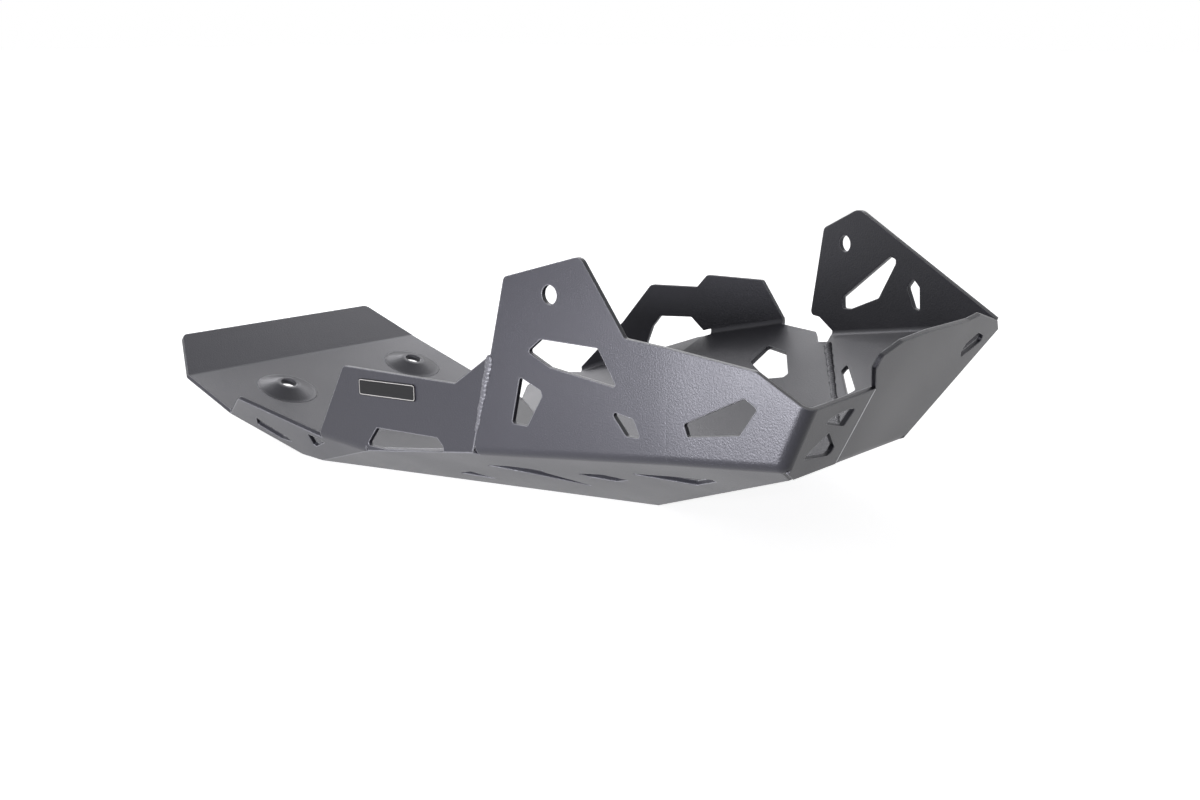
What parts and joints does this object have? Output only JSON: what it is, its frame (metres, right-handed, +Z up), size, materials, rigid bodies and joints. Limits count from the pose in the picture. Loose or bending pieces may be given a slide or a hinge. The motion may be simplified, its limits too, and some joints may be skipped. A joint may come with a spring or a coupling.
{
  "type": "motorbike engine guard",
  "caption": "Black engine guard for a motorbike, folded and welded from aluminium sheet into an open bowl with slotted sides, two bolt ears and a turned-up tail",
  "frame": {"origin": "centre of the right ear's bolt hole, on the ear's outer face", "axes": "X points to the nose, Y to the left side, Z up"},
  "size_m": [0.584, 0.3154, 0.1681],
  "materials": {
    "black_coat": "fine satin black powder coat",
    "badge_finish": "satin black plate with a pale rim"
  },
  "bodies": {
    "root": {"centre_plate": "black_coat", "right_front_side": "black_coat", "right_rear_side": "black_coat", "left_rear_side": "black_coat", "left_front_side": "black_coat", "right_seam_weld": "black_coat", "left_seam_weld": "black_coat", "badge_plate": "badge_finish"}
  },
  "joints": []
}
